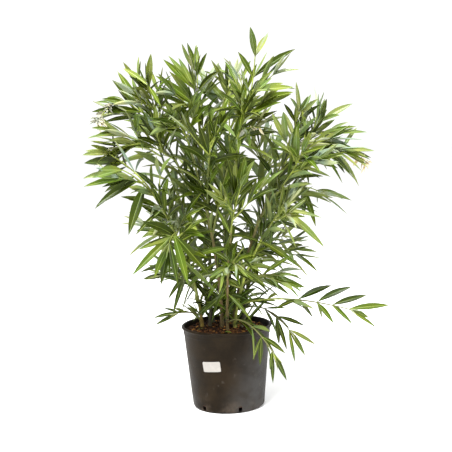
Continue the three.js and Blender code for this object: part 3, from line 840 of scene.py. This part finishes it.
def bark(point, distance, angle):
    """The relief of bark: furrows, small warts and a swollen ring with three scars at each node."""
    drawn = Vector((point.x, point.y, point.z * BARK.stretch))
    furrow = noise.noise(drawn * BARK.furrow_scale)
    wart = noise.noise(point * BARK.wart_scale + BARK.wart_place)
    pitch = BARK.node
    place = (distance % pitch) / pitch
    ring = exp(-(((place - 0.5) * pitch / BARK.ring) ** 2))
    scar = 0.5 + 0.5 * cos(3 * angle + (distance // pitch) * pi)
    swollen = ring * (BARK.swell + BARK.scar * scar)
    return 1 + BARK.furrow * furrow + BARK.wart * wart + swollen


# Finishes

VEINS = Table(count=40, slant=2.6, tone=0.1)
COOL = (0.72, 0.88, 1.2)
WARM = (1.24, 1.12, 0.9)
CLOUD_ROUGHNESS = 0.55


class Wire:
    """A node's output. Sums, products and differences of wires add the nodes they need."""

    def __init__(self, finish, socket):
        self.finish = finish
        self.socket = socket

    def math(self, operation, other=0):
        return self.finish.node("Math", {"operation": operation}, {0: self, 1: other})

    def __rsub__(self, other):
        return self.finish.node("Math", {"operation": "SUBTRACT"}, {0: other, 1: self})

    def clip(self, low, high):
        values = {"Value": self, "From Min": low, "From Max": high}
        return self.finish.node("MapRange", {"interpolation_type": "SMOOTHSTEP"}, values)

    __add__ = __radd__ = partialmethod(math, "ADD")
    __mul__ = __rmul__ = partialmethod(math, "MULTIPLY")
    __sub__ = partialmethod(math, "SUBTRACT")
    power = partialmethod(math, "POWER")
    size = partialmethod(math, "ABSOLUTE")
    wave = partialmethod(math, "SINE")


class Finish:
    """A material with one shader."""

    def __init__(self, name, colour, roughness, gloss=0.5):
        self.material = bpy.data.materials.new(name)
        self.material.use_nodes = True
        self.tree = self.material.node_tree
        self.shader = next(n for n in self.tree.nodes if n.type == "BSDF_PRINCIPLED")
        fixed = {"Base Color": (*colour, 1), "Roughness": roughness, "Specular IOR Level": gloss}
        for socket, value in fixed.items():
            self.shader.inputs[socket].default_value = value
        self.material.diffuse_color = (*colour, 1)

    def node(self, kind, settings, values, output=0):
        made = self.tree.nodes.new(f"ShaderNode{kind}")
        for name, value in settings.items():
            setattr(made, name, value)
        for socket, value in values.items():
            if isinstance(value, Wire):
                self.tree.links.new(value.socket, made.inputs[socket])
            else:
                made.inputs[socket].default_value = value
        return Wire(self, made.outputs[output])

    def place(self, scale):
        spot = self.node("TexCoord", {}, {}, "Object")
        return self.node("Mapping", {}, {"Vector": spot, "Scale": scale})

    def chart(self):
        spot = self.node("UVMap", {"uv_map": CHART}, {})
        parts = self.node("SeparateXYZ", {}, {"Vector": spot})
        return parts, Wire(self, parts.socket.node.outputs["Y"])

    def cloud(self, scale, detail, stretch=(1, 1, 1)):
        values = {"Vector": self.place(stretch), "Scale": scale, "Detail": detail}
        values["Roughness"] = CLOUD_ROUGHNESS
        return self.node("TexNoise", {}, values, "Fac")

    def axis(self, name):
        return self.node("SeparateXYZ", {}, {"Vector": self.place((1, 1, 1))}, name)

    def mix(self, share, first, second):
        values = {0: share, 6: self.colour(first), 7: self.colour(second)}
        return self.node("Mix", {"data_type": "RGBA"}, values, 2)

    def colour(self, value):
        return value if isinstance(value, Wire) else (*value, 1)

    def feed(self, socket, wire):
        self.tree.links.new(wire.socket, self.shader.inputs[socket])

    def done(self, base, height, depth):
        """The material, with its colour and with relief of a depth in metres."""
        self.feed("Base Color", base)
        values = {"Height": height, "Distance": depth, "Strength": 1}
        self.feed("Normal", self.node("Bump", {}, values))
        return self.material


def shade(colour, factor):
    return tuple(min(1, part * factor) for part in colour)


def leaf_finish(tint, part):
    """Mottled leaf: side veins slant from the midrib, and the blade's margin and foot are paler."""
    colours = dict(zip(LEAF_PARTS, TINTS[tint]))
    colour, rib = colours[part], colours["rib"]
    finish = Finish(f"leaf_{tint}_{part}", colour, LEAF_PARTS[part], SHEEN[tint])
    across, along = finish.chart()
    aside = (across - 0.5).size() * 2
    veins = ((along * VEINS.count - aside * VEINS.slant) * 2 * pi).wave() * 0.5 + 0.5
    mottle = finish.cloud(15, 3).clip(0.3, 0.7)
    cool, warm = [[c * share for c, share in zip(colour, shares)] for shares in (COOL, WARM)]
    base = finish.mix(mottle, cool, warm)
    if part == "rib":
        finish.feed("Base Color", base)
        return finish.material
    veined = finish.mix(veins * VEINS.tone, base, rib)
    pale = aside.clip(0.9, 1) * 0.35 + (1 - along.clip(0.0, 0.14)) * 0.6
    grain = veins * 0.5 + finish.cloud(900, 2) * 0.5
    return finish.done(finish.mix(pale, veined, rib), grain, 0.00013)


def bark_finish(name, low, high, turns):
    """Bark that goes from its old colour at the foot to its young one above."""
    finish = Finish(name, low, 0.78)
    rise = finish.axis("Z").clip(*turns)
    base = finish.mix(rise, low, high)
    streaks = finish.cloud(240, 4, (1, 1, 0.22)).clip(0.35, 0.72)
    darker = finish.mix(rise, shade(low, 0.45), shade(high, 0.6))
    spots = finish.cloud(520, 2, (1, 1, 0.5)).clip(0.62, 0.7)
    streaked = finish.mix(streaks, darker, base)
    spotted = finish.mix(spots * 0.6, streaked, shade(high, 1.7))
    finish.feed("Roughness", 0.86 - rise * 0.25)
    return finish.done(spotted, finish.cloud(420, 4, (1, 1, 0.3)), 0.0009)


def twig_finish():
    colour = (0.19, 0.225, 0.038)
    finish = Finish("young_twig", colour, 0.5, 0.15)
    patches = finish.cloud(60, 3).clip(0.35, 0.65)
    young = finish.mix(patches, shade(colour, 0.7), shade(colour, 1.25))
    rise = finish.axis("Z").clip(0.22, 0.6)
    base = finish.mix(rise, (0.105, 0.105, 0.036), young)
    return finish.done(base, finish.cloud(700, 2, (1, 1, 0.3)), 0.0003)


def pot_finish():
    colour = (0.0112, 0.0074, 0.0036)
    finish = Finish("pot_plastic", colour, 0.5, 0.045)
    veil = finish.cloud(16, 5).clip(0.36, 0.66)
    scuffs = finish.cloud(42, 6).clip(0.62, 0.78)
    dust = 1 - finish.axis("Z").clip(0.0, 0.06)
    dusty = (dust * finish.cloud(38, 4).clip(0.4, 0.75)).power(1.3)
    base = finish.mix(veil, shade(colour, 0.68), shade(colour, 1.3))
    # Painted highlight: the right and lower side of the pot is painted a lighter grey, in patches, where
    # the fill lamp's reflection falls
    painted_sheen_side = (finish.axis("X") - finish.axis("Z") * 0.35).clip(-0.05, 0.08)
    sheen_patches = finish.cloud(26, 4).clip(0.3, 0.65) * 0.6 + 0.55
    painted_sheen = finish.mix(painted_sheen_side * sheen_patches, base, (0.038, 0.036, 0.034))
    worn = finish.mix(scuffs * 0.3, painted_sheen, (0.09, 0.08, 0.07))
    dusted = finish.mix(dusty * 0.3, worn, (0.12, 0.09, 0.065))
    finish.feed("Roughness", veil * 0.14 + scuffs * 0.12 + 0.38)
    return finish.done(dusted, finish.cloud(1500, 2) * 0.6 + finish.cloud(24, 2) * 0.4, 0.0003)


def chip_finish(name, colour):
    finish = Finish(name, colour, 0.9, 0.15)
    grain = finish.cloud(330, 4, (1, 0.35, 1)).clip(0.3, 0.7)
    base = finish.mix(grain, shade(colour, 0.5), shade(colour, 1.4))
    return finish.done(base, finish.cloud(500, 4), 0.0012)


def paper_finish():
    colour = (0.262, 0.246, 0.222)
    finish = Finish("sticker_paper", colour, 0.6)
    marks = finish.cloud(120, 4).clip(0.35, 0.75)
    base = finish.mix(marks, shade(colour, 0.93), shade(colour, 1.04))
    return finish.done(base, finish.cloud(800, 2), 0.0002)


# Stems, boughs, twigs and leaves. A bark has its colours at the foot and above, and the heights
# in metres between which it turns.

BARKS = {
    "brown": ((0.145, 0.098, 0.032), (0.19, 0.20, 0.045), (0.36, 0.62)),
    "ochre": ((0.33, 0.22, 0.04), (0.22, 0.26, 0.035), (0.22, 0.30)),
    "green": ((0.26, 0.29, 0.05), (0.29, 0.35, 0.04), (0.2, 0.5)),
    "dark": ((0.07, 0.062, 0.035), (0.19, 0.22, 0.04), (0.25, 0.55)),
}
STEM_BARK = {
    "stem_brown": "brown", "stem_west": "ochre", "stem_green": "green", "stem_front": "brown",
    "stem_east": "brown", "bough_low_right": "green", "bough_left_front": "ochre",
}


def make_plant():
    limbs = grow_limbs()
    barks = {name: bark_finish(f"bark_{name}", *values) for name, values in BARKS.items()}
    for name in [*STEMS, *BOUGHS]:
        build = Build()
        tube(build, limbs[name], *BARK_TUBE, bark)
        material = barks[STEM_BARK.get(name, "dark")]
        wood = build.piece(f"bark_{name}", [material], SMOOTH.wood)
        dress(wood, "old_bark" if name in STEMS else "young_bark", name)
    twigs, leaves = grow_foliage(limbs)
    build = Build()
    for twig in twigs:
        tube(build, twig, *TWIG_TUBE)
    dress(build.piece("twigs", [twig_finish()], SMOOTH.wood), "young_bark", *MASSES)
    make_leaves(leaves)


def dress(piece, slot, *nodes):
    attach(piece, "root")
    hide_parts(*nodes)


# Pot: its profile is spun round, then the drain slots are cut. Bends of the profile are steps
# out and up from the wall; arcs have a radius, two angles and a number of steps.

AXLE = 0.01
HOLLOW = Table(height=1.2, end=14, ring=10)
SHOULDER = ((-0.5, -0.6), (-0.4, 0), (0.7, 1.4), (0.8, 2.5))
UNDER_LIP = ((0.1, -1.2), (0.8, -0.3))
ARCS = Table(foot=(-90, 0, 8), lip=(3.2, -72, 90, 9), neck=(2.4, 95, 175, 4), floor=(6, 0, -90, 4))
NECK = (-0.6, 0.8)
MERGE = 0.02


def pot_radius(z):
    return blend(POT.base, POT.neck, z / (POT.height - POT.lip))


def arc(centre, radius, start, end, steps):
    for i in range(steps + 1):
        angle = radians(blend(start, end, i / steps))
        out, up = around(radius, angle)
        yield centre[0] + out, centre[1] + up


def pot_profile():
    top, corner = POT.height, POT.corner
    foot = pot_radius(corner) - corner
    hollow = HOLLOW.height
    profile = [(AXLE, hollow), (foot - HOLLOW.end, hollow), (foot - HOLLOW.ring, 0)]
    profile += arc((foot, corner), corner, *ARCS.foot)
    shoulder = top - POT.shoulder
    profile += [(pot_radius(shoulder) + out, shoulder + up) for out, up in SHOULDER]
    profile += [(POT.neck + out, top - POT.lip + up) for out, up in UNDER_LIP]
    middle = top - POT.lip / 2
    profile += arc((POT.rim - ARCS.lip[0], middle), *ARCS.lip)
    profile += arc((POT.neck + NECK[0], middle + NECK[1]), *ARCS.neck)
    inner = pot_radius(corner) - POT.wall
    profile += [(inner, corner + POT.floor)]
    profile += arc((inner - ARCS.floor[0], POT.floor + ARCS.floor[0]), *ARCS.floor)
    return profile + [(AXLE, POT.floor)]


def make_pot(material):
    profile = pot_profile()
    mesh = bpy.data.meshes.new("nursery_pot")
    points = [(radius * MM, 0, z * MM) for radius, z in profile]
    mesh.from_pydata(points, [(i, i + 1) for i in range(len(points) - 1)], [])
    pot = placed("nursery_pot", mesh)
    only(pot)
    edit_all()
    bpy.ops.mesh.spin(steps=POT.sides, angle=2 * pi, center=(0, 0, 0), axis=(0, 0, 1))
    bpy.ops.mesh.select_all(action="SELECT")
    bpy.ops.mesh.remove_doubles(threshold=MERGE * MM)
    bpy.ops.mesh.normals_make_consistent(inside=False)
    bpy.ops.object.mode_set(mode="OBJECT")
    cut_slots(pot)
    painted(pot, material, SMOOTH.pot)
    dress(pot, "pot", "pot")


def cut_slots(pot):
    for i in range(SLOTS.count):
        angle = radians(SLOTS.first + i * 360 / SLOTS.count)
        middle = SLOTS.bottom + SLOTS.height / 2
        place = Matrix.Rotation(angle, 4, "Z") @ Matrix.Translation((POT.base * MM, 0, middle * MM))
        cutter = added(bpy.ops.mesh.primitive_cube_add, size=1)
        size = (SLOTS.depth * MM, SLOTS.width * MM, SLOTS.height * MM)
        cutter.data.transform(place @ Matrix.Diagonal((*size, 1)))
        edit_all()
        bpy.ops.mesh.bevel(offset=SLOTS.bevel * MM, segments=3)
        bpy.ops.object.mode_set(mode="OBJECT")
        only(pot)
        cut = pot.modifiers.new("slot", "BOOLEAN")
        cut.operation = "DIFFERENCE"
        cut.solver = "EXACT"
        cut.object = cutter
        bpy.ops.object.modifier_apply(modifier=cut.name)
        only(cutter)
        bpy.ops.object.delete()


# Compost: a lumpy bed of fine bark with coarser chips lying on it

BED = Table(
    rings=34, sectors=96, lump=2.6, lump_scale=0.11, fine=0.6, fine_scale=0.3, mound=4, wide=80,
    sunk=3.2, high=0.94, gap=0.2, narrows=16, bottom=12,
)
BED_COLOUR = (0.022, 0.011, 0.007)
CHIPS = {
    "chip_dark": ((0.024, 0.010, 0.004), 680),
    "chip_red": ((0.092, 0.036, 0.010), 340),
    "chip_tan": ((0.40, 0.19, 0.045), 70),
}
CHIP = Table(
    length=(5, 14), slim=(0.35, 0.65), thick=(1.4, 3.2), end=0.55,
    uneven=(0.8, 0.6, 0.3), tips=(0.5, 0.4), height=(0.9, 2.5), from_wall=9,
    along=(-1, -0.3, 0.4, 1), corners=((-1, -1), (1, -1), (1, 1), (-1, 1)),
)
CHIP_FACES = [(3, 2, 1, 0), (12, 13, 14, 15), *quads(0, 4, 4), *quads(4, 8, 4), *quads(8, 12, 4)]
CHIP_GROUP = 700


def bed_height(x, y):
    place = Vector((x, y, 0))
    lump = noise.noise(place * BED.lump_scale) + BED.fine * noise.noise(place * BED.fine_scale)
    mound = max(0, 1 - hypot(x, y) / BED.wide)
    return SOIL_LEVEL - BED.sunk + BED.lump * lump + BED.mound * mound


def make_bed(material):
    rings, sectors = BED.rings, BED.sectors
    edge = blend(pot_radius(POT.corner), POT.neck, BED.high) - POT.wall - BED.gap
    angles = [2 * pi * j / sectors for j in range(sectors)]
    points = [(0, 0, bed_height(0, 0))]
    for i in range(1, rings + 1):
        for angle in angles:
            x, y = around(edge * i / rings, angle)
            points.append((x, y, bed_height(x, y)))
    bottom = POT.floor + BED.bottom
    points += [(*around(edge - BED.narrows, angle), bottom) for angle in angles]
    faces = [(0, 1 + j, 1 + (j + 1) % sectors) for j in range(sectors)]
    for i in range(rings):
        first = 1 + i * sectors
        for j in range(sectors):
            k = (j + 1) % sectors
            faces.append((first + j, first + sectors + j, first + sectors + k, first + k))
    last = 1 + rings * sectors
    faces.append(tuple(last + j for j in range(sectors))[::-1])
    build = Build()
    build.add(points, faces)
    dress(build.piece("compost_bed", [material], SMOOTH.bed), "soil", "soil")


def chip_box(keys):
    """An uneven chip with split ends, lying flat about its own middle."""
    long = blend(*CHIP.length, roll(*keys, CHIP_LENGTH) ** 2)
    wide = long * blend(*CHIP.slim, roll(*keys, CHIP_WIDTH))
    thick = blend(*CHIP.thick, roll(*keys, CHIP_THICKNESS))
    points = []
    for i, along in enumerate(CHIP.along):
        narrow = CHIP.end if abs(along) == 1 else 1
        for j, (side, top) in enumerate(CHIP.corners):
            spot = (along * long / 2, side * wide / 2 * narrow, top * thick / 2 * narrow)
            spans = enumerate(CHIP.uneven, CHIP_CORNER)
            strays = [sway(span, *keys, i, j, key) for key, span in spans]
            points.append(Vector([at + off for at, off in zip(spot, strays)]))
    return points


def make_chips(name, colour, count, number):
    build = Build()
    reach = POT.neck - POT.wall - CHIP.from_wall
    over, aside = CHIP.tips
    for i in range(count):
        keys = (CHIP_GROUP + number, i)
        x, y = around(reach * sqrt(roll(*keys, CHIP_OUT)), 2 * pi * roll(*keys, CHIP_ROUND))
        turn = Matrix.Rotation(2 * pi * roll(*keys, CHIP_TURN), 3, "Z")
        tip = Matrix.Rotation(sway(over, *keys, CHIP_OVER), 3, "Y")
        tip = tip @ Matrix.Rotation(sway(aside, *keys, CHIP_ASIDE), 3, "X")
        height = bed_height(x, y) + blend(*CHIP.height, roll(*keys, CHIP_HEIGHT))
        spot = Vector((x, y, height))
        build.add([turn @ tip @ p + spot for p in chip_box(keys)], CHIP_FACES)
    dress(build.piece(name, [chip_finish(name, colour)], SMOOTH.chip), "soil", "soil")


def make_soil():
    make_bed(chip_finish("compost", BED_COLOUR))
    for number, (name, chip) in enumerate(CHIPS.items()):
        make_chips(name, *chip, number)


# Sticker: blank paper with round corners, bent round the wall


def make_label(material):
    columns, rows = LABEL.grid
    add = bpy.ops.mesh.primitive_grid_add
    label = added(add, x_subdivisions=columns, y_subdivisions=rows, size=1)
    label.name = "sticker"
    half = (LABEL.width / 2, LABEL.height / 2)
    tilt = radians(LABEL.tilt)
    corner = LABEL.corner
    for vertex in label.data.vertices:
        x, z = vertex.co.x * LABEL.width, vertex.co.y * LABEL.height
        over = Vector((max(0, abs(x) - half[0] + corner), max(0, abs(z) - half[1] + corner)))
        if over.length > corner:
            pull = over * (corner / over.length)
            x = copysign(half[0] - corner + pull.x, x)
            z = copysign(half[1] - corner + pull.y, z)
        height = LABEL.middle + z * cos(tilt) + x * sin(tilt)
        along = x * cos(tilt) - z * sin(tilt)
        angle = radians(LABEL.turn) + along / pot_radius(LABEL.middle)
        radius = pot_radius(height) + LABEL.proud
        vertex.co = Vector((*around(radius, angle), height)) * MM
    only(label)
    thick = label.modifiers.new("paper", "SOLIDIFY")
    thick.thickness = LABEL.thickness * MM
    thick.offset = 1
    bpy.ops.object.modifier_apply(modifier=thick.name)
    painted(label, material, SMOOTH.sticker)
    dress(label, "label", "label")


# Camera, light and floor. A lamp has its place, its size and its power.

LAMPS = {
    "key_light": ((-0.8, -1.4, 2.9), 1.5, 300),
    "fill_light": ((2.2, -1.6, 0.7), 1.0, 30),
    "back_light": ((0.4, 2.4, 2.2), 1.8, 30),
}
LIT_SPOT = Vector((0, 0, 0.5))
FLOOR = Table(size=30, colour=(0.9, 0.9, 0.9), roughness=0.9)
SKY_STRENGTH = 1.12


def make_camera():
    data = bpy.data.cameras.new("camera")
    data.lens = CAMERA.lens
    data.sensor_width = CAMERA.sensor
    camera = placed("camera", data)
    turn = Matrix.Rotation(radians(90 - CAMERA.down), 4, "X")
    rolled = Matrix.Rotation(radians(-CAMERA.roll), 4, "Z")
    camera.matrix_world = Matrix.Translation(CAMERA.place) @ turn @ rolled
    bpy.context.scene.camera = camera


def make_lamp(name, place, size, power):
    data = bpy.data.lights.new(name, "AREA")
    data.shape = "DISK"
    data.size = size
    data.energy = power
    lamp = placed(name, data)
    way = LIT_SPOT - Vector(place)
    lamp.matrix_world = Matrix.Translation(place) @ way.to_track_quat("-Z", "Y").to_matrix().to_4x4()


def make_stage():
    floor = added(bpy.ops.mesh.primitive_plane_add, size=FLOOR.size)
    floor.name = "floor"
    paper = Finish("floor_paper", FLOOR.colour, FLOOR.roughness)
    floor.data.materials.append(paper.material)
    floor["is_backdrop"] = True
    world = bpy.data.worlds.new("studio")
    world.use_nodes = True
    background = next(n for n in world.node_tree.nodes if n.type == "BACKGROUND")
    background.inputs["Color"].default_value = (1, 1, 1, 1)
    background.inputs["Strength"].default_value = SKY_STRENGTH
    scene = bpy.context.scene
    scene.world = world
    scene.view_settings.view_transform = "Standard"
    for name, lamp in LAMPS.items():
        make_lamp(name, *lamp)


make_camera()
make_stage()
make_plant()
make_pot(pot_finish())
make_soil()
make_label(paper_finish())

boxes = {"cad": cad_box, "visual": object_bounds()}
{name: [list(corner) for corner in box] for name, box in boxes.items()}
